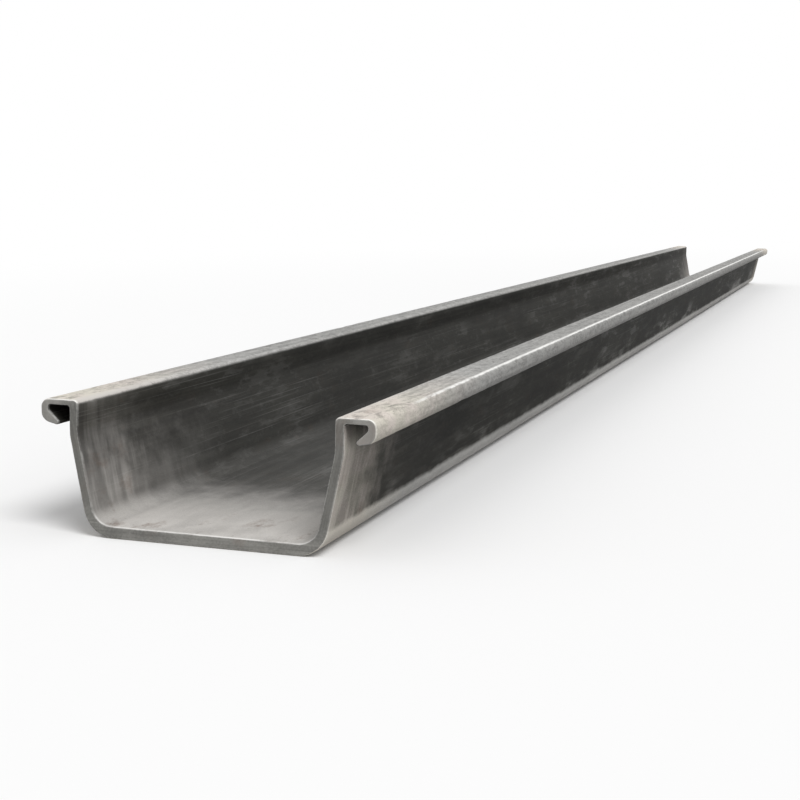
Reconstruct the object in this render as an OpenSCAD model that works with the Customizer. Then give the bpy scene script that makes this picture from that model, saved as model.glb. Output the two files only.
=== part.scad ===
// Hot-rolled U-section steel sheet pile with a hooked interlock along each edge.
// It lies on its web with the trough open upwards and its length along Y.
// The origin is under the middle of the web.

/* [Pile] */
// Length of the pile, along Y
pile_length = 6000; // [500:100:18000]
// Width that one pile covers in a wall, from interlock centre to interlock centre
pitch = 400; // [340:5:600]
// Overall height, from the web's outer face to the top of the hooks
pile_height = 170; // [140:1:240]

/* [Web and legs] */
// Thickness of the web
web_t = 15.5; // [8:0.1:20]
// Thickness of each leg
leg_t = 12.5; // [7:0.1:16]
// Lean of each leg from upright, in degrees
leg_lean = 11.5; // [2:0.5:20]
// Height of the upright neck of each leg, below the hook's arm
neck_h = 36; // [30:1:60]
// Radius inside the corner between web and leg
corner_in_r = 27; // [8:1:40]
// Radius outside the corner between web and leg
corner_out_r = 40; // [12:1:50]
// Radius of the bend between the leaning leg and its neck
neck_bend_r = 60; // [10:1:100]

/* [Interlock hook] */
// Distance from the interlock's centre out to the hook's side
hook_half_w = 19; // [17:0.25:24]
// Thickness of the arm that reaches out over the pocket
arm_t = 8; // [6:0.25:13]
// Thickness of the finger where it leaves the arm
finger_root_t = 11; // [7:0.25:13]
// How far the finger hangs below the arm
finger_drop = 25; // [20:0.5:30]
// Height of the finger's point above its lowest line
tip_h = 4.25; // [3:0.25:7]
// How far the finger's lowest line lies behind its point
tip_back = 3.5; // [2:0.25:7]
// How far the finger's underside rises on its way out to the side
finger_rise = 5; // [2:0.25:8]
// Clearance between two engaged hooks, on each side of a finger
play = 1; // [0.5:0.1:2.5]

/* [Hook radii] */
// Radius on top of the leg, towards the trough
arm_in_r = 6.5; // [2:0.5:9]
// Radius on top of the hook, towards the outside
arm_out_r = 11; // [3:0.5:13]
// Radius under the finger, towards the outside
finger_out_r = 14; // [3:0.5:16]
// Radius under the finger's point
tip_under_r = 5; // [1:0.5:8]
// Radius of the finger's point
tip_r = 2.5; // [1:0.25:4]
// Radius where the finger's gripping face turns up into the pocket
grip_r = 5; // [1:0.5:10]
// Radius in the two upper corners of the pocket
pocket_r = 3; // [1:0.25:5]

/* [Smoothness] */
// Angle of one step along a rounded corner, in degrees
arc_step = 7.5; // [2:0.5:15]

/* [Hidden] */

// Across the right-hand hook. A second pile, turned half a turn about the interlock's centre,
// has its finger in this pocket, so the gaps that it needs are worked out from that turn.
centre_x = pitch / 2;
side_x = centre_x + hook_half_w;
neck_x = centre_x - hook_half_w - play;
root_x = side_x - finger_root_t;
tip_x = 2 * centre_x - root_x + play;

// Up the right-hand hook
pocket_z = pile_height - arm_t;
finger_z = pocket_z - finger_drop;
centre_z = (pocket_z + finger_z - play) / 2;
tip_z = finger_z + tip_h;
grip_z = 2 * centre_z - tip_z - play;

// The leg's outer and inner faces, from the neck down to the web
neck_out_z = pocket_z - neck_h;
neck_in_z = neck_out_z + leg_t * tan(leg_lean / 2);
foot_out_x = neck_x - neck_out_z * tan(leg_lean);
foot_in_x = neck_x - leg_t / cos(leg_lean) - (neck_out_z - web_t) * tan(leg_lean);

// Sharp corners of the right-hand half, each as across, up and the radius that rounds it,
// from the web's outer face round the hook to the web's inner face
right_corners = [
    [foot_out_x, 0, corner_out_r],
    [neck_x, neck_out_z, neck_bend_r],
    [neck_x, pocket_z, pocket_r],
    [root_x, pocket_z, pocket_r],
    [root_x, grip_z, grip_r],
    [tip_x, tip_z, tip_r],
    [tip_x + tip_back, finger_z, tip_under_r],
    [side_x, finger_z + finger_rise, finger_out_r],
    [side_x, pile_height, arm_out_r],
    [neck_x - leg_t, pile_height, arm_in_r],
    [neck_x - leg_t, neck_in_z, neck_bend_r],
    [foot_in_x, web_t, corner_in_r],
];

// The same corners on the left, in the order that closes the outline
left_corners = [
    for (i = [len(right_corners) - 1 : -1 : 0])
        [-right_corners[i].x, right_corners[i].y, right_corners[i].z]
];

function unit(v) = v / norm(v);

// Points of the arc that rounds the corner b between its neighbours a and c.
// The arc takes up at most half of the shorter side.
function rounded_corner(a, b, c, r) =
    let (
        to_a = unit(a - b),
        to_c = unit(c - b),
        half_angle = acos(to_a * to_c) / 2,
        room = min(norm(a - b), norm(c - b)) / 2,
        reach = min(r / tan(half_angle), room),
        radius = reach * tan(half_angle),
        middle = b + unit(to_a + to_c) * reach / cos(half_angle),
        first = b + to_a * reach - middle,
        start = atan2(first.y, first.x),
        sweep = -sign(cross(to_a, to_c)) * (180 - 2 * half_angle),
        steps = ceil(abs(sweep) / arc_step)
    )
    [
        for (i = [0 : steps])
            let (angle = start + sweep * i / steps)
            middle + radius * [cos(angle), sin(angle)]
    ];

// Across and up of a corner, without its radius
function place(corner) = [corner.x, corner.y];

// A closed outline of corners, each rounded by its own radius
function rounded_outline(corners) =
    let (n = len(corners))
    [
        for (i = [0 : n - 1])
            each rounded_corner(
                place(corners[(i + n - 1) % n]),
                place(corners[i]),
                place(corners[(i + 1) % n]),
                corners[i].z
            )
    ];

// Cross-section of the pile, the same all along its length
module section() {
    polygon(rounded_outline(concat(right_corners, left_corners)));
}

// The pile, rolled in one piece and cut square at both ends
module sheet_pile() {
    color("dimgray")
    rotate([90, 0, 0])
    linear_extrude(height = pile_length, center = true)
    section();
}

sheet_pile();
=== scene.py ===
# %% [markdown]
# # A steel sheet pile
# A sheet pile is rolled hot from one billet of steel, as one long trough with a hook along each edge. The
# hooks of two piles slide into each other, so that a row of piles makes a wall in the ground. The packed
# model already has the true section and length. This script gives it the skin of rolled steel: dark mill
# scale, dust, a little rust, bare edges and sawn ends, with some light and shade painted into the colours.

# %% Load the imported model
import math

import bpy
import numpy as np
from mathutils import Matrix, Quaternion, Vector


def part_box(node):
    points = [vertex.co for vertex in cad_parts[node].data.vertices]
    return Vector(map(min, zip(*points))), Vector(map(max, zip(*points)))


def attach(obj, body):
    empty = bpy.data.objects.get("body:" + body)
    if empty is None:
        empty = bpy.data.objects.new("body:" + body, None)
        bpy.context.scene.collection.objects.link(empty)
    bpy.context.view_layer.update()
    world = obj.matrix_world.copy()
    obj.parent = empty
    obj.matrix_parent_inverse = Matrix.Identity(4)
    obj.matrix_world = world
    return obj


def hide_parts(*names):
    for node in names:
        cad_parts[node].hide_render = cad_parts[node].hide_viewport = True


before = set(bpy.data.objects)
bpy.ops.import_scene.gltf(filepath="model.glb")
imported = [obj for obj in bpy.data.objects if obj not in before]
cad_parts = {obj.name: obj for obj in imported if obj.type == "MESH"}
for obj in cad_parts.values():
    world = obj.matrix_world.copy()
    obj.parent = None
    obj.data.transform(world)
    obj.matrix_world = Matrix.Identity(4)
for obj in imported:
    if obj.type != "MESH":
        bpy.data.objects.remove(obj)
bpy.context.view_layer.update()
low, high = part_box("sheet_pile")
pile_length = high[1] - low[1]
pile_width = high[0] - low[0]
pile_height = high[2] - low[2]
half_length = pile_length / 2
half_width = pile_width / 2
print(f"pile: {pile_width:.3f} m wide, {pile_height:.3f} m high, {pile_length:.3f} m long")

# %% [markdown]
# ## Node trees as expressions
# Geometry Nodes and shaders are both trees of nodes. Adding dozens of nodes by hand makes long code that is
# hard to read, so one small class stands for a socket. Arithmetic on it adds Math nodes, and its `node`
# method adds any other node.

# %% A socket that can be written in sums
def pick(sockets, name):
    """The socket at a number, or the first one in use with a name, or the first one in use."""
    if isinstance(name, int):
        return sockets[name]
    return next(s for s in sockets if s.enabled and (name is None or s.name == name))


class Wire:
    """A socket in a node tree. A wire without a socket is the start of an empty tree."""

    def __init__(self, tree, socket=None):
        self.tree = tree
        self.socket = socket

    def node(self, kind, settings=None, values=None, output=None):
        """Adds a node, sets its settings first and then its sockets, and returns one of its outputs."""
        node = self.tree.nodes.new(kind)
        for name, value in (settings or {}).items():
            setattr(node, name, value)
        for name, value in (values or {}).items():
            socket = pick(node.inputs, name)
            if isinstance(value, Wire):
                self.tree.links.new(value.socket, socket)
            else:
                socket.default_value = value
        return Wire(self.tree, pick(node.outputs, output) if node.outputs else None)

    def maths(self, operation, first, second=0.0):
        return self.node("ShaderNodeMath", {"operation": operation}, {0: first, 1: second})

    def __add__(self, other):
        return self.maths("ADD", self, other)

    def __radd__(self, other):
        return self.maths("ADD", other, self)

    def __sub__(self, other):
        return self.maths("SUBTRACT", self, other)

    def __rsub__(self, other):
        return self.maths("SUBTRACT", other, self)

    def __mul__(self, other):
        return self.maths("MULTIPLY", self, other)

    def __rmul__(self, other):
        return self.maths("MULTIPLY", other, self)

    def __truediv__(self, other):
        return self.maths("DIVIDE", self, other)

    def __rtruediv__(self, other):
        return self.maths("DIVIDE", other, self)

    def __pow__(self, other):
        return self.maths("POWER", self, other)

    def __rpow__(self, other):
        return self.maths("POWER", other, self)

    def __abs__(self):
        return self.maths("ABSOLUTE", self)


print("a socket can now be added, multiplied and raised to a power")

# %% [markdown]
# A few nodes come back again and again, so each gets a helper with a short name. A soft step turns any
# number into a mask, which is 0 where a finish is absent and 1 where it is full. Colours and vectors have
# nodes of their own, because a Math node would turn a colour grey.

# %% Helpers for the common nodes
TILTED = (0.0, 0.55, 0.0)


def axis(vector, letter):
    return vector.node("ShaderNodeSeparateXYZ", None, {"Vector": vector}, letter)


def most(first, second):
    return first.maths("MAXIMUM", first, second)


def sign(value):
    return value.maths("SIGN", value)


def rise(value, start, end):
    """A soft step from 0 at start to 1 at end. With start above end it falls."""
    bounds = {"Value": value, "From Min": start, "From Max": end}
    return value.node("ShaderNodeMapRange", {"interpolation_type": "SMOOTHSTEP"}, bounds)


def stretch(vector, factors):
    return vector.node("ShaderNodeVectorMath", {"operation": "MULTIPLY"}, {0: vector, 1: factors})


def grain(place, per_metre, detail=3.0, roughness=0.55, seed=0.0, turned=TILTED, swirl=0.0):
    """Noise with its own number of waves per metre along each axis.

    It is turned first, because noise shows its grid on faces that are square to it, and swirl breaks up
    what is left of the grid.
    """
    turning = {"Vector": place, "Rotation": turned}
    askew = place.node("ShaderNodeVectorRotate", {"rotation_type": "EULER_XYZ"}, turning)
    moving = {0: stretch(askew, per_metre), 1: (seed,) * 3}
    moved = place.node("ShaderNodeVectorMath", {"operation": "ADD"}, moving)
    waves = {"Vector": moved, "Scale": 1.0, "Detail": detail, "Roughness": roughness, "Distortion": swirl}
    return place.node("ShaderNodeTexNoise", None, waves)


def paint(amount, under, over):
    """One colour laid over another, by an amount."""
    return amount.node("ShaderNodeMix", {"data_type": "RGBA"}, {"Factor": amount, "A": under, "B": over})


print("helpers: axis, most, sign, rise, stretch, grain and paint")

# %% [markdown]
# ## The section
# The pile's outline is the same all along its length, so it is read once, from the triangles of the packed
# model's near end. It could be drawn anew from sizes, but then it might not lie on the model. An edge that
# belongs to only one of those triangles lies on the outline.

# %% Read the outline of the near end
SAME_PLACE = 1e-5
DECIMALS = 6


def end_outline(mesh, end_y):
    """The points (across, up) round one end, in order, with the steel on their left."""
    edges = set()
    for face in mesh.polygons:
        corners = [mesh.vertices[i].co for i in face.vertices]
        if all(abs(corner.y - end_y) < SAME_PLACE for corner in corners):
            points = [(round(corner.x, DECIMALS), round(corner.z, DECIMALS)) for corner in corners]
            edges.update(zip(points, points[1:] + points[:1]))
    following = {a: b for a, b in edges if (b, a) not in edges}
    loop = [min(following)]
    while following[loop[-1]] != loop[0]:
        loop.append(following[loop[-1]])
    return np.array(loop)


corner_points = end_outline(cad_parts["sheet_pile"].data, low[1])
print(f"outline: {len(corner_points)} points in the model")

# %% [markdown]
# The model has no points along its straight stretches, because a flat face needs none. Here they get some,
# because the ripple of rolled steel needs points to move.

# %% Fill the straight stretches
POINT_STEP = 0.008


def with_more_points(loop, step):
    points = []
    for a, b in zip(loop, np.roll(loop, -1, axis=0)):
        parts = math.ceil(np.linalg.norm(b - a) / step)
        points.extend(a + (b - a) * k / parts for k in range(parts))
    return np.array(points)


outline = with_more_points(corner_points, POINT_STEP)
print(f"outline: {len(outline)} points after the straight stretches are filled")

# %% [markdown]
# Three things about each outline point steer what follows. Its outward direction lets the skin move in and
# out. How tightly it bends outwards tells which edges take nicks, and how tightly it bends inwards tells
# which bends are darkened and where rust gathers.

# %% Outward direction and bend at each point
NICKED_RADIUS = 0.009
HOLLOW_RADIUS = 0.012

ahead = np.roll(outline, -1, axis=0) - outline
behind = np.roll(ahead, 1, axis=0)
ahead_size = np.linalg.norm(ahead, axis=1)
behind_size = np.linalg.norm(behind, axis=1)
along = ahead / ahead_size[:, None] + behind / behind_size[:, None]
along /= np.linalg.norm(along, axis=1)[:, None]
outward = np.stack([along[:, 1], np.zeros(len(along)), -along[:, 0]], axis=1)

turned = behind[:, 0] * ahead[:, 1] - behind[:, 1] * ahead[:, 0]
turn = np.arcsin(turned / (ahead_size * behind_size))
bend = turn / np.minimum(ahead_size, behind_size)
edge = np.clip(bend * NICKED_RADIUS, 0, 1)
hollow = np.clip(-bend * HOLLOW_RADIUS, 0, 1)
print(f"tightest outward bend {1000 / bend.max():.1f} mm, tightest inward bend {-1000 / bend.min():.1f} mm")

# %% [markdown]
# ## Mill scale
# Steel that cools after rolling grows a thin dark skin, called mill scale. It could be a picture wrapped
# round the pile. Here it is built from masks instead, so it has no seams and every amount can be changed.
# The first masks only tell where a point is: on top of a hook, on a hook's side, on the outer leg, in the
# trough, or outside and below. Distances are in metres, and faces_up is 1 on a level top and 0 on a wall.

# %% Where things are on the pile
def new_finish(name):
    """A new material, with a wire to its tree and its shader."""
    material = bpy.data.materials.new(name)
    material.use_nodes = True
    return material, Wire(material.node_tree), material.node_tree.nodes["Principled BSDF"]


scale_steel, sheet, scale_shader = new_finish("mill_scale")
place = sheet.node("ShaderNodeTexCoord", None, None, "Object")
faces = sheet.node("ShaderNodeNewGeometry", None, None, "Normal")
bend_in = sheet.node("ShaderNodeAttribute", {"attribute_name": "hollow"}, None, "Fac")
up = axis(place, "Z")
from_top = pile_height - up
from_side = half_width - abs(axis(place, "X"))
from_end = half_length - abs(axis(place, "Y"))
faces_up = axis(faces, "Z")
faces_away = axis(faces, "X") * sign(axis(place, "X"))

hook_top = rise(from_top, 0.014, 0.005) * rise(faces_up, 0.0, 0.7)
hook_side = rise(from_side, 0.014, 0.004) * rise(faces_away, 0.1, 0.7)
outer_leg = rise(from_side, 0.030, 0.038) * rise(faces_away, 0.6, 0.9)
in_trough = rise(from_side, 0.035, 0.055) * rise(faces_away, 0.35, 0.05)
trough = in_trough * rise(faces_up, -0.1, 0.1)
outside = rise(from_side, 0.035, 0.045) * rise(faces_up, 0.05, -0.1)
print("masks by place: hook top, hook side, outer leg, trough and outside")

# %% [markdown]
# Rolled steel is never one even grey. Rolling draws long streaks, scale comes off in blotches and flecks,
# and sliding leaves scratches. All of these are noise at different sizes. The three numbers of each noise
# are its waves per metre across, along and up, so a low middle number draws it out along the pile. Only the
# runs of rain water are drawn out downwards.

# %% Noise at every size
ASKEW = (0.7, 0.55, 0.4)
LENGTHWISE = (0.12, 0.55, 0.12)
STRAIGHT = (0.0, 0.0, 0.0)

clouds = grain(place, (7.0, 2.5, 7.0), detail=4.0, seed=3.1)
blotches = grain(place, (40.0, 6.0, 40.0), detail=6.0, roughness=0.62, seed=6.4)
streaks = grain(place, (150.0, 1.5, 150.0), detail=3.0, seed=7.7)
specks = grain(place, (280.0, 95.0, 280.0), detail=2.0, seed=1.9, turned=LENGTHWISE, swirl=0.3)
spot_waves = (100.0, 36.0, 100.0)
spots = grain(place, spot_waves, detail=4.0, roughness=0.6, seed=5.9, turned=LENGTHWISE, swirl=0.3)
flecks = grain(place, (64.0, 24.0, 64.0), detail=6.0, roughness=0.68, seed=2.9, turned=LENGTHWISE)
grit = grain(place, (900.0, 380.0, 900.0), detail=1.0, seed=3.7, turned=ASKEW)
patches = grain(place, (24.0, 15.0, 24.0), detail=5.0, roughness=0.6, seed=8.1, turned=ASKEW)
scratches = grain(place, (520.0, 2.2, 520.0), detail=1.0, seed=5.3)
runs = grain(place, (18.0, 42.0, 5.0), detail=5.0, roughness=0.6, seed=2.4, turned=STRAIGHT)
print("noise: clouds, blotches, streaks, specks, spots, flecks, grit, patches, scratches and runs")

# %% [markdown]
# The scale itself is nearly black, and its tone wanders between two dark greys. Where it has flaked, popped
# off or been scratched, the greyer steel below shows through. Each colour is laid over the one before, so
# the number beside each mask says how much of that colour shows at most.

# %% Scale, flakes and scratches
DARK_SCALE = (0.010, 0.0098, 0.0086, 1)
GREY_SCALE = (0.039, 0.0380, 0.0326, 1)
FLAKED_STEEL = (0.090, 0.0885, 0.084, 1)
POPPED_STEEL = (0.125, 0.123, 0.117, 1)
SCRATCHED_STEEL = (0.20, 0.198, 0.19, 1)

tone = 0.28 * clouds + 0.22 * blotches + 0.28 * streaks + 0.12 * specks + 0.10 * grit
scale_colour = paint(rise(tone, 0.36, 0.64), DARK_SCALE, GREY_SCALE)
flaked = rise(blotches, 0.54, 0.62) * (0.25 + 0.75 * rise(clouds, 0.42, 0.58))
flaked_colour = paint(flaked * 0.40, scale_colour, FLAKED_STEEL)
popped = rise(flecks, 0.53, 0.68) * (0.3 + 0.7 * rise(clouds, 0.40, 0.56))
popped_colour = paint(popped * 0.30, flaked_colour, POPPED_STEEL)
scratched = rise(scratches, 0.60, 0.70) * rise(clouds + 0.4 * spots, 0.55, 0.85)
worn_colour = paint(scratched * 0.35, popped_colour, SCRATCHED_STEEL)
print("mill scale: two greys under flakes, flecks and scratches")

# %% [markdown]
# ## Dust
# Pale dust lies thick near the open ends and on what faces up, and rain washes it into streaks. A straight
# fade from the end would look painted, so the distance from the end is first made ragged with noise. Every
# fade along the pile then reads that ragged distance, and every unevenness in the dust is one of the noises
# with a soft step.

# %% How dust thins out and breaks up
ragged = from_end + 0.22 * (patches - 0.5) + 0.14 * (clouds - 0.5)
near_end = rise(ragged, 0.20, 0.02)
pale_end = rise(ragged, 0.34, 0.04)
far_along = rise(ragged, 0.25, 0.80)

patchy = rise(0.4 * clouds + 0.4 * patches + 0.2 * blotches, 0.38, 0.60)
spotted = rise(0.5 * spots + 0.3 * patches + 0.2 * specks, 0.38, 0.58)
grainy = rise(0.6 * specks + 0.4 * spots, 0.38, 0.60)
gritty = rise(grit, 0.34, 0.66)
washed = rise(runs, 0.36, 0.64)
lined = rise(streaks, 0.38, 0.62)
print("dust: three fades from the ends and six kinds of unevenness")

# %% [markdown]
# On the outer legs the dust is a washed band at each end, with a thin film beyond it. In the trough it lies
# on the web and climbs the inner legs to an uneven tide line. The web and the legs meet in a round bend, so
# the two amounts are blended by how far the steel faces up. In the trough the dust fades fast from the end,
# so that the trough turns dark deeper in, and that dark is partly painted shade.

# %% Dust on the legs, and dust with painted shade in the trough
film = 0.03 * rise(ragged, 0.60, 0.10)
leg_dust = outer_leg * (film + near_end * (0.29 + 0.27 * washed + 0.11 * gritty))

tide_height = up + 0.10 * (patches - 0.5) + 0.08 * (clouds - 0.5)
tide = rise(tide_height, 0.11, 0.04) * rise(ragged, 0.45, 0.03)
tide_dust = 0.36 * tide * (0.4 + 0.4 * patchy + 0.3 * washed)
side_dust = 0.06 + tide_dust + near_end * (0.04 + 0.16 * washed)
# the web's pale dust falls away fast from the end: dust near it, painted shade deeper in
web_dust_and_shade = (0.13 + 0.87 * rise(ragged, 0.36, 0.05)) * (0.68 + 0.22 * patchy + 0.12 * gritty)
settled = rise(faces_up, 0.15, 0.95)
trough_dust_and_shade = trough * (side_dust * (1.0 - settled) + web_dust_and_shade * settled)
print("dust on the outer legs, the inner legs and the web")

# %% [markdown]
# The hooks are the palest part of the pile. Their dust is mottled all along, thicker near the ends, chafed
# there in patches, and thinner far along. Top and side overlap on the round shoulder, so the greater of the
# two counts, because their sum would leave a pale stripe.

# %% Dust on the hooks
mottled = 0.14 * spotted + 0.18 * grainy + 0.22 * gritty + 0.10 * lined
chafed = pale_end * rise(0.6 * spots + 0.4 * flecks, 0.53, 0.41)
top_dust = hook_top * (0.38 + mottled + 0.22 * pale_end - 0.27 * chafed - 0.13 * far_along)
hook_side_dust = hook_side * (0.38 + 0.7 * mottled + 0.26 * pale_end - 0.11 * far_along)
hook_dust = most(top_dust, hook_side_dust)
# this sum also carries the painted shade deeper in the trough
dust = leg_dust + trough_dust_and_shade + hook_dust
print("dust on the hooks")

# %% [markdown]
# Dust near the ends is warmer than the grey dust along the pile, here a little pinker and there a little
# sandier. In the trough it is cooler.

# %% Colour of the dust
GREY_DUST = (0.55, 0.545, 0.53, 1)
TROUGH_DUST = (0.63, 0.605, 0.575, 1)
PINK_DUST = (0.715, 0.652, 0.596, 1)
SANDY_DUST = (0.692, 0.655, 0.575, 1)

warm_colour = paint(rise(patches, 0.40, 0.60), PINK_DUST, SANDY_DUST)
end_colour = paint(trough, warm_colour, TROUGH_DUST)
dust_colour = paint(rise(ragged, 0.55, 0.05), GREY_DUST, end_colour)
dusted_and_shaded = paint(dust, worn_colour, dust_colour)
print("dust is laid over the scale")

# %% [markdown]
# ## Rust
# A little brown rust shows where water stands: low down near the ends, and in the hollow bends. It is a
# rough noise with a high threshold, so that only a few spots remain.

# %% Rust
RUST = (0.150, 0.088, 0.058, 1)

rust_noise = grain(place, (30.0, 14.0, 30.0), detail=7.0, roughness=0.68, seed=9.2)
low_down = rise(up, 0.075, 0.005)
damp = 0.06 + 0.34 * low_down * near_end + 0.22 * near_end + 0.16 * bend_in
rust = rise(rust_noise, 0.55, 0.72) * damp
rusty = paint(rust, dusted_and_shaded, RUST)
print("rust is laid over the dust")

# %% [markdown]
# ## The pale foot
# Along the bottom bend runs a pale band with an uneven top edge, and faint wisps rise from it. The band is
# partly scale scuffed away and partly painted bounce light from the floor, and it is palest lowest down,
# where the bend faces the floor. The band's height wanders by a few millimetres of noise, for the same
# reason as the dust.

# %% Pale foot, worn and with painted bounce light
GREY_FOOT = (0.70, 0.690, 0.664, 1)
DUSTY_FOOT = (0.76, 0.715, 0.640, 1)

foot_height = up + 0.007 * (patches - 0.5) + 0.006 * (spots - 0.5)
foot = outside * rise(foot_height, 0.0380, 0.0280)
underside_bounce = rise(up, 0.024, 0.008)
# painted bounce light: the band is paler lowest down, where it faces the floor
scuff_and_bounce = 0.52 + 0.14 * patchy + 0.20 * gritty + 0.12 * pale_end + 0.15 * underside_bounce
wisps = outside * rise(up, 0.085, 0.030) * rise(0.6 * clouds + 0.4 * blotches, 0.47, 0.64) * 0.26
foot_wear_and_bounce = foot * scuff_and_bounce + wisps * (1.0 - foot)
foot_colour = paint(pale_end, GREY_FOOT, DUSTY_FOOT)
footed = paint(foot_wear_and_bounce, rusty, foot_colour)
print("the foot is worn pale")

# %% [markdown]
# ## Bare steel, painted highlights and darkened bends
# Lifting and sliding rub the round shoulder of each hook bare, in one bright line that starts broken and
# grows steady. The line is also a painted highlight: it lies where the shoulder faces one way, so it follows
# the bend without any drawing, just where light glints. The sharp rims at the sawn ends are bare too, with a
# painted highlight that is stronger where they face up. The hollow bends are darkened in patches.

# %% Bare shoulder and rims with painted highlights, darkened bends
BARE_STEEL_HIGHLIGHT = (0.87, 0.865, 0.84, 1)
BEND_DARK = (0.030, 0.028, 0.026, 1)
SHOULDER_FACING = 0.83

strayed = faces_up - SHOULDER_FACING + 0.08 * (patches - 0.5) + 0.12 * (spots - 0.5)
# painted highlight: bare, metallic steel laid as a pale line where the shoulder faces one way
shoulder_highlight = rise(abs(strayed), 0.14, 0.05) * rise(from_side, 0.016, 0.011)
unsteady = 0.26 + 0.50 * rise(ragged, 0.70, 0.20)
broken = rise(0.4 * blotches + 0.6 * spots, 0.56, 0.42) * unsteady
bare = shoulder_highlight * (1.0 - broken) * rise(ragged, 0.08, 0.32)
# painted highlight: the bare rims are brighter where they face up
rim_highlight_facing = 0.25 + 0.50 * rise(faces_up, 0.2, 0.8)
rim = rise(from_end, 0.0040, 0.0008) * rim_highlight_facing * rise(patches, 0.36, 0.52)
rubbed_and_highlight = most(bare, rim)
bright_colour = paint(rubbed_and_highlight, footed, BARE_STEEL_HIGHLIGHT)
# the hollow bends are darkened in patches
darkening = bend_in * (0.20 + 0.35 * patchy)
colour = paint(darkening, bright_colour, BEND_DARK)
print("bare steel and grime are laid over the foot")

# %% [markdown]
# ## Gloss and fine relief
# Dust and rust are dull, and rubbed steel is glossier and more metallic. Pits and drawn lines are finer than
# the mesh, so they are bump, which tilts the light and moves no point. The scale reflects little, so its
# index of refraction is low.

# %% Gloss and fine relief
SCALE_IOR = 1.08
SCALE_RELIEF = 0.0009


def feed(node, **wires):
    """Links wires to a node's inputs, with _ in a name for a space."""
    for name, wire in wires.items():
        wire.tree.links.new(wire.socket, node.inputs[name.replace("_", " ")])


dull = 0.50 + 0.14 * streaks + 0.28 * dust + 0.25 * rust - 0.10 * flaked - 0.24 * rubbed_and_highlight
pits = grain(place, (420.0, 260.0, 420.0), detail=3.0, seed=4.6, turned=ASKEW)
drawn = grain(place, (300.0, 3.0, 300.0), detail=2.0, seed=8.8)
relief = 0.40 * pits + 0.30 * drawn + 0.15 * blotches - 0.15 * flaked + 0.20 * grit
bump = sheet.node("ShaderNodeBump", None, {"Strength": 0.4, "Distance": SCALE_RELIEF, "Height": relief})
scale_shader.inputs["IOR"].default_value = SCALE_IOR
feed(scale_shader, Base_Color=colour, Roughness=dull, Metallic=rubbed_and_highlight * 0.75, Normal=bump)
print("mill scale material has", len(scale_steel.node_tree.nodes), "nodes")

# %% [markdown]
# ## The sawn ends
# The pile is sawn square while it is still hot. The cut is matt grey, with faint streaks that follow the
# rolled section: level in the web, and leaning with the legs. So there are two sets of streaks, and a mask
# chooses between them by height. The cut is a material of its own, because no scale lies on it.

# %% Streaks on the cut
LEG_LEAN = 0.2

cut_steel, cut, cut_shader = new_finish("cut_steel")
cut_place = cut.node("ShaderNodeTexCoord", None, None, "Object")
cut_across = abs(axis(cut_place, "X"))
cut_height = axis(cut_place, "Z")
cut_clouds = grain(cut_place, (24.0, 1.0, 24.0), detail=5.0, seed=0.7)
cut_dots = grain(cut_place, (340.0, 1.0, 340.0), detail=2.0, seed=2.2)
level_streaks = grain(cut_place, (9.0, 1.0, 360.0), detail=2.0, seed=6.1, turned=STRAIGHT)
leaning = cut_across - LEG_LEAN * cut_height
leg_place = cut.node("ShaderNodeCombineXYZ", None, {"X": leaning, "Z": cut_height})
upright_streaks = grain(leg_place, (360.0, 1.0, 9.0), detail=2.0, seed=6.1, turned=STRAIGHT)
in_web = rise(cut_height, 0.040, 0.018)
laid = in_web * level_streaks + (1.0 - in_web) * upright_streaks
print("cut: clouds, dots and streaks along the section")

# %% [markdown]
# The cut has a few reddish stains. It is darker on the legs and lighter on the hooks, and its rim, where the
# saw left a thin ridge, is the lightest: partly bare steel and partly a painted edge highlight. The rim is
# found by an attribute that the sweep below stores: 1 inside the cut, falling to 0 at its edge.

# %% Tones of the cut
DARK_CUT = (0.150, 0.147, 0.136, 1)
PALE_CUT = (0.30, 0.294, 0.272, 1)
CUT_STAIN = (0.24, 0.172, 0.142, 1)
LEG_CUT = (0.080, 0.078, 0.071, 1)
HOOK_CUT = (0.36, 0.345, 0.325, 1)
CUT_RIM_HIGHLIGHT = (0.44, 0.435, 0.415, 1)

cut_tone = 0.40 * cut_clouds + 0.35 * laid + 0.25 * cut_dots
cut_colour = paint(rise(cut_tone, 0.34, 0.66), DARK_CUT, PALE_CUT)
stain_noise = grain(cut_place, (13.0, 1.0, 15.0), detail=6.0, roughness=0.6, seed=5.5)
stained = paint(rise(stain_noise, 0.54, 0.74) * 0.45, cut_colour, CUT_STAIN)
on_leg = rise(cut_height, 0.020, 0.050) * rise(cut_height, 0.172, 0.156)
on_hook = rise(half_width - cut_across, 0.034, 0.024)
darker = paint(on_leg * (1.0 - on_hook) * 0.50, stained, LEG_CUT)
lighter = paint(on_hook * 0.42, darker, HOOK_CUT)
inside_cut = cut.node("ShaderNodeAttribute", {"attribute_name": "inner"}, None, "Fac")
# painted edge highlight on the cut's rim, partly bare steel
cut_edge_highlight = rise(inside_cut, 0.9, 0.1) * (0.15 + 0.45 * rise(cut_clouds + cut_dots, 0.8, 1.15))
cut_finish = paint(cut_edge_highlight, lighter, CUT_RIM_HIGHLIGHT)
print("cut: stains, darker legs, lighter hooks and a pale rim")

# %% [markdown]
# Saw marks are far finer than the mesh, so they are bump as well. The cut is partly metallic, because the
# saw bares the steel and the air dulls it again.

# %% Gloss and saw marks of the cut
CUT_METALLIC = 0.25
CUT_RELIEF = 0.0005

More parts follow.
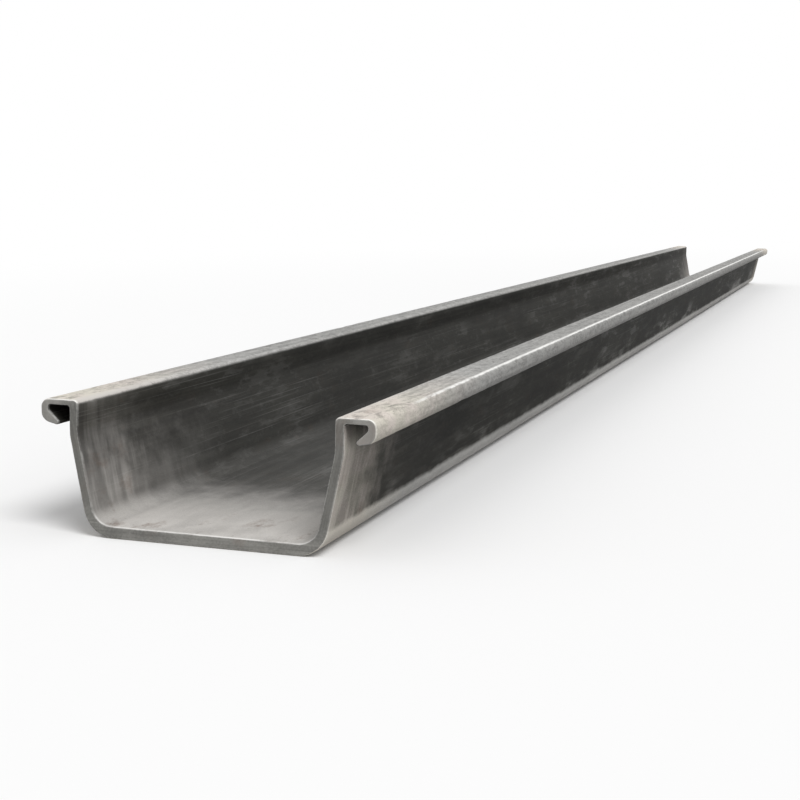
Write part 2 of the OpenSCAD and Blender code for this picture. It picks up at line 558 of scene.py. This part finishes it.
cut_marks = 0.6 * laid + 0.4 * cut_dots
cut_bump = cut.node("ShaderNodeBump", None, {"Strength": 0.3, "Distance": CUT_RELIEF, "Height": cut_marks})
cut_shader.inputs["Metallic"].default_value = CUT_METALLIC
feed(cut_shader, Base_Color=cut_finish, Roughness=0.48 + 0.2 * cut_clouds, Normal=cut_bump)
print("cut steel material has", len(cut_steel.node_tree.nodes), "nodes")

# %% [markdown]
# ## The pile
# A rolled bar follows one rule: its section, drawn along a line. Curve to Mesh does just that, and a node
# tree with named inputs lets every size be changed in one place.

# %% Inputs of the sweep
SWEEP_INPUTS = [
    ("Length", "NodeSocketFloat", pile_length),
    ("Rings", "NodeSocketInt", 249),
    ("End Crowding", "NodeSocketFloat", 1.8),
    ("Edge Wear", "NodeSocketFloat", 0.0011),
    ("Wear Reach", "NodeSocketFloat", 0.0032),
    ("Rim Width", "NodeSocketFloat", 0.0015),
    ("Ripple", "NodeSocketFloat", 0.0007),
    ("Nick Depth", "NodeSocketFloat", 0.0012),
    ("Seed", "NodeSocketFloat", 4.0),
    ("Scale Finish", "NodeSocketMaterial", scale_steel),
    ("Cut Finish", "NodeSocketMaterial", cut_steel),
]

sweep = bpy.data.node_groups.new("rolled_sweep", "GeometryNodeTree")
sweep.interface.new_socket("Outline", in_out="INPUT", socket_type="NodeSocketGeometry")
for name, kind, _ in SWEEP_INPUTS:
    sweep.interface.new_socket(name, in_out="INPUT", socket_type=kind)
sweep.interface.new_socket("Pile", in_out="OUTPUT", socket_type="NodeSocketGeometry")

start = Wire(sweep)
given = sweep.nodes.new("NodeGroupInput")
named = {socket.name: Wire(sweep, socket) for socket in given.outputs if socket.name}
print("sweep inputs:", ", ".join(named))

# %% [markdown]
# The rings of points along the pile are crowded towards its ends, where the eye looks for detail, and wide
# apart in the middle. The first and the last ring lie on the cut itself, a hair outside their neighbours,
# and will be drawn a little inwards, so that each cut has a rim. The section is then swept along the rings
# and closed at both ends.

# %% Rings along the pile
CUT_STANDS_OUT = 0.00002

half = named["Length"] * 0.5
line = start.node("GeometryNodeMeshLine", None, {"Count": named["Rings"]})
share = (start.node("GeometryNodeInputIndex") - 1.0) / (named["Rings"] - 3.0) * 2.0 - 1.0
on_face = share.maths("GREATER_THAN", abs(share), 1.0001)
crowded = 1.0 - most(1.0 - abs(share), 0.0) ** named["End Crowding"]
ring_y = sign(share) * (crowded * half + on_face * CUT_STANDS_OUT) * -1.0
ring_place = start.node("ShaderNodeCombineXYZ", None, {"Y": ring_y})
marked = start.node(
    "GeometryNodeStoreNamedAttribute", {"data_type": "FLOAT", "domain": "POINT"},
    {"Geometry": line, "Name": "inner", "Value": on_face},
)
rings = start.node("GeometryNodeSetPosition", None, {"Geometry": marked, "Position": ring_place})
path = start.node("GeometryNodeMeshToCurve", None, {"Mesh": rings})
level = start.node("GeometryNodeSetCurveNormal", {"mode": "FREE"}, {"Curve": path, "Normal": (1, 0, 0)})
profile = start.node("GeometryNodeMeshToCurve", None, {"Mesh": named["Outline"]})
rolled = start.node(
    "GeometryNodeCurveToMesh", None, {"Curve": level, "Profile Curve": profile, "Fill Caps": True}
)
print("sweep: rings, path and section")

# %% [markdown]
# Rolled steel is not quite flat, its sawn edges are worn back unevenly, and its outer edges have small
# nicks. All three are amounts by which a point moves along its own outward direction, so they add up to one
# shift. Each has its own noise, with a fourth coordinate as its seed.

# %% Worn ends, ripple and nicks
def known(name, kind):
    return start.node("GeometryNodeInputNamedAttribute", {"data_type": kind}, {"Name": name}, "Attribute")


def rough(vector, seed, scale, detail):
    values = {"Vector": vector, "W": seed, "Scale": scale, "Detail": detail}
    return start.node("ShaderNodeTexNoise", {"noise_dimensions": "4D"}, values)


where = start.node("GeometryNodeInputPosition")
end_gap = half - abs(axis(where, "Y"))
closeness = most(1.0 - end_gap / named["Wear Reach"], 0.0)
chips = rough(where, named["Seed"], 70.0, 3.0)
waves = rough(stretch(where, (6.0, 2.5, 6.0)), named["Seed"], 1.0, 2.0)
knocks = rough(stretch(where, (12.0, 14.0, 12.0)), named["Seed"] + 5.0, 1.0, 1.0)

worn_back = named["Edge Wear"] * closeness ** 2.0 * (0.2 + 1.6 * chips)
rim_inset = named["Rim Width"] * known("inner", "FLOAT")
nicked = rise(knocks, 0.60, 0.74) * known("edge", "FLOAT") * rise(end_gap, 0.01, 0.05)
shift = (waves - 0.5) * named["Ripple"] - worn_back - rim_inset - named["Nick Depth"] * nicked
moving = {"Vector": known("outward", "FLOAT_VECTOR"), "Scale": shift}
moved = start.node("ShaderNodeVectorMath", {"operation": "SCALE"}, moving)
skin = start.node("GeometryNodeSetPosition", None, {"Geometry": rolled, "Offset": moved})
print("sweep: worn ends, ripple and nicks")

# %% [markdown]
# The sides get the scale and the two cuts the sawn finish. A face belongs to a cut if the stored mark of its
# corners is above a quarter on average.

# %% Smooth the skin and set both finishes
smooth = start.node("GeometryNodeSetShadeSmooth", None, {"Geometry": skin, "Shade Smooth": True})
solid = start.node("GeometryNodeRealizeInstances", None, {"Geometry": smooth})
coated = start.node(
    "GeometryNodeSetMaterial", None, {"Geometry": solid, "Material": named["Scale Finish"]}
)
on_cut = start.node(
    "FunctionNodeCompare", {"operation": "GREATER_THAN"}, {"A": known("inner", "FLOAT"), "B": 0.25}
)
done = start.node(
    "GeometryNodeSetMaterial", None,
    {"Geometry": coated, "Selection": on_cut, "Material": named["Cut Finish"]},
)
start.node("NodeGroupOutput", None, {"Pile": done})
print("sweep tree has", len(sweep.nodes), "nodes")

# %% [markdown]
# The sweep needs the outline as a flat loop of edges, with what is known about each point as attributes. The
# modifier's inputs are set by the identifiers of its sockets, because names need not be unique.

# %% Give the outline to the sweep
section = bpy.data.meshes.new("section")
count = len(outline)
loop_points = [(x, z, 0.0) for x, z in outline]
loop_edges = [(i, (i + 1) % count) for i in range(count)]
section.from_pydata(loop_points, loop_edges, [])
section.attributes.new("outward", "FLOAT_VECTOR", "POINT").data.foreach_set("vector", outward.ravel())
section.attributes.new("edge", "FLOAT", "POINT").data.foreach_set("value", edge)
section.attributes.new("hollow", "FLOAT", "POINT").data.foreach_set("value", hollow)

pile = bpy.data.objects.new("rolled_pile", section)
bpy.context.scene.collection.objects.link(pile)
rolling = pile.modifiers.new("rolled sweep", "NODES")
rolling.node_group = sweep
identifiers = {item.name: item.identifier for item in sweep.interface.items_tree if item.in_out == "INPUT"}
for name, _, value in SWEEP_INPUTS:
    rolling[identifiers[name]] = value
print(f"section: a loop of {count} points")

# %% [markdown]
# The result becomes a plain mesh, because the frame and the export work with plain meshes. It takes the
# place of the imported model's solid and rides on its only body.

# %% Roll the pile
evaluated = pile.evaluated_get(bpy.context.evaluated_depsgraph_get())
pile_mesh = bpy.data.meshes.new_from_object(evaluated)
pile.modifiers.remove(rolling)
pile.data = pile_mesh
pile_mesh.name = "rolled_pile"
for used_up in ("outward", "edge"):
    pile_mesh.attributes.remove(pile_mesh.attributes[used_up])
triangles = sum(len(face.vertices) - 2 for face in pile_mesh.polygons)
finishes = [material.name for material in pile_mesh.materials]
print(f"pile: {len(pile_mesh.vertices)} points, {triangles} triangles,", finishes)

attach(pile, "root")
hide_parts("sheet_pile")

# %% [markdown]
# ## Floor, light and camera
# The pile lies on a pale studio floor that runs into a white background. More light would bleach the steel,
# so the white is only what the camera and reflections see. A duller floor and sky light the pile, and its
# dark sides stay dark.

# %% Floor
FLOOR_SIZE = 120.0
FLOOR_LIT = 0.45
FLOOR_SEEN = 0.95

floor_mesh = bpy.data.meshes.new("floor")
reach = FLOOR_SIZE / 2
floor_corners = [(-reach, -reach, 0.0), (reach, -reach, 0.0), (reach, reach, 0.0), (-reach, reach, 0.0)]
floor_mesh.from_pydata(floor_corners, [], [(0, 1, 2, 3)])
floor = bpy.data.objects.new("floor", floor_mesh)
bpy.context.scene.collection.objects.link(floor)


def grey(level):
    return (level, level, level, 1)


def seen(tree_start):
    """1 where the camera, a reflection or clear glass looks, 0 where light only bounces."""
    camera_ray, glossy_ray, clear_ray = (
        tree_start.node("ShaderNodeLightPath", None, None, name)
        for name in ("Is Camera Ray", "Is Glossy Ray", "Is Transmission Ray")
    )
    return most(camera_ray, most(glossy_ray, clear_ray))


floor_paint, floor_tree, floor_shader = new_finish("floor_paint")
floor_mesh.materials.append(floor_paint)
floor_seen = seen(floor_tree)
floor_shader.inputs["Roughness"].default_value = 0.9
floor_shader.inputs["Specular IOR Level"].default_value = 0.0
feed(floor_shader, Base_Color=paint(floor_seen, grey(FLOOR_LIT), grey(FLOOR_SEEN)))
print(f"floor: {FLOOR_SIZE:.0f} m square")

# %% [markdown]
# Far from the pile the floor glows white by itself, so that no horizon shows. The fade starts well beside
# the pile, so that its shadow stays, and it is squeezed lengthwise, because the pile is long.

# %% The floor fades to white
LENGTHWISE_SQUEEZE = 0.45
FADE_START = 1.2
FADE_END = 4.0

floor_place = floor_tree.node("ShaderNodeTexCoord", None, None, "Object")
beside = stretch(floor_place, (1.0, LENGTHWISE_SQUEEZE, 0.0))
far_off = floor_tree.node("ShaderNodeVectorMath", {"operation": "LENGTH"}, {0: beside}, "Value")
glow = floor_tree.node("ShaderNodeEmission", None, {"Strength": 1.0})
plain = Wire(floor_paint.node_tree, floor_shader.outputs["BSDF"])
fade = rise(far_off, FADE_START, FADE_END) * floor_seen
faded = floor_tree.node("ShaderNodeMixShader", None, {"Fac": fade, 1: plain, 2: glow})
feed(floor_paint.node_tree.nodes["Material Output"], Surface=faded)
print(f"floor: white from {FADE_END:.0f} m beside the pile")

# %% [markdown]
# One soft sun comes from the front and above, and the sky fills the shadows. Together they light level
# ground at a strength of about 1, so that a colour renders about as it is written.

# %% Sky and sun
SKY_LIGHT = 0.58
SUN_STRENGTH = 1.75
SUN_SOFTNESS = math.radians(30)
SUN_FROM = Vector((0.45, -0.40, 0.80))

world = bpy.data.worlds.new("studio")
world.use_nodes = True
bpy.context.scene.world = world
sky = world.node_tree.nodes["Background"]
sky.inputs["Strength"].default_value = 1.0
feed(sky, Color=paint(seen(Wire(world.node_tree)), grey(SKY_LIGHT), grey(1)))

sun_light = bpy.data.lights.new("sun", "SUN")
sun_light.energy = SUN_STRENGTH
sun_light.angle = SUN_SOFTNESS
sun = bpy.data.objects.new("sun", sun_light)
sun.rotation_euler = SUN_FROM.to_track_quat("Z", "Y").to_euler()
bpy.context.scene.collection.objects.link(sun)
print(f"light on level ground: {SKY_LIGHT + SUN_STRENGTH * SUN_FROM.normalized().z / math.pi:.2f}")

# %% [markdown]
# The camera stands in front of the near end, to the right of the pile and above it. It looks along the pile
# with a little tilt, because the photograph is not quite level either.

# %% Camera
EYE_ASIDE = 0.7686
EYE_BEFORE_END = 1.676
EYE_HEIGHT = 0.4385
AIM_SIDEWAYS = math.radians(17.3)
AIM_DOWN = math.radians(7.9)
TILT = math.radians(1.1)
VIEW_ANGLE = math.radians(29.0)

lens = bpy.data.cameras.new("camera")
lens.sensor_fit = "HORIZONTAL"
lens.angle = VIEW_ANGLE
camera = bpy.data.objects.new("camera", lens)
camera.location = (EYE_ASIDE, low[1] - EYE_BEFORE_END, EYE_HEIGHT)
level_look = Vector((-math.sin(AIM_SIDEWAYS), math.cos(AIM_SIDEWAYS), 0))
look = level_look * math.cos(AIM_DOWN) - Vector((0, 0, math.sin(AIM_DOWN)))
aimed = look.to_track_quat("-Z", "Y")
camera.rotation_euler = (aimed @ Quaternion((0, 0, 1), TILT)).to_euler()
bpy.context.scene.collection.objects.link(camera)
bpy.context.scene.camera = camera
bpy.context.scene.view_settings.view_transform = "Standard"
print(f"camera: {EYE_BEFORE_END:.2f} m before the near end, {EYE_HEIGHT:.2f} m up")
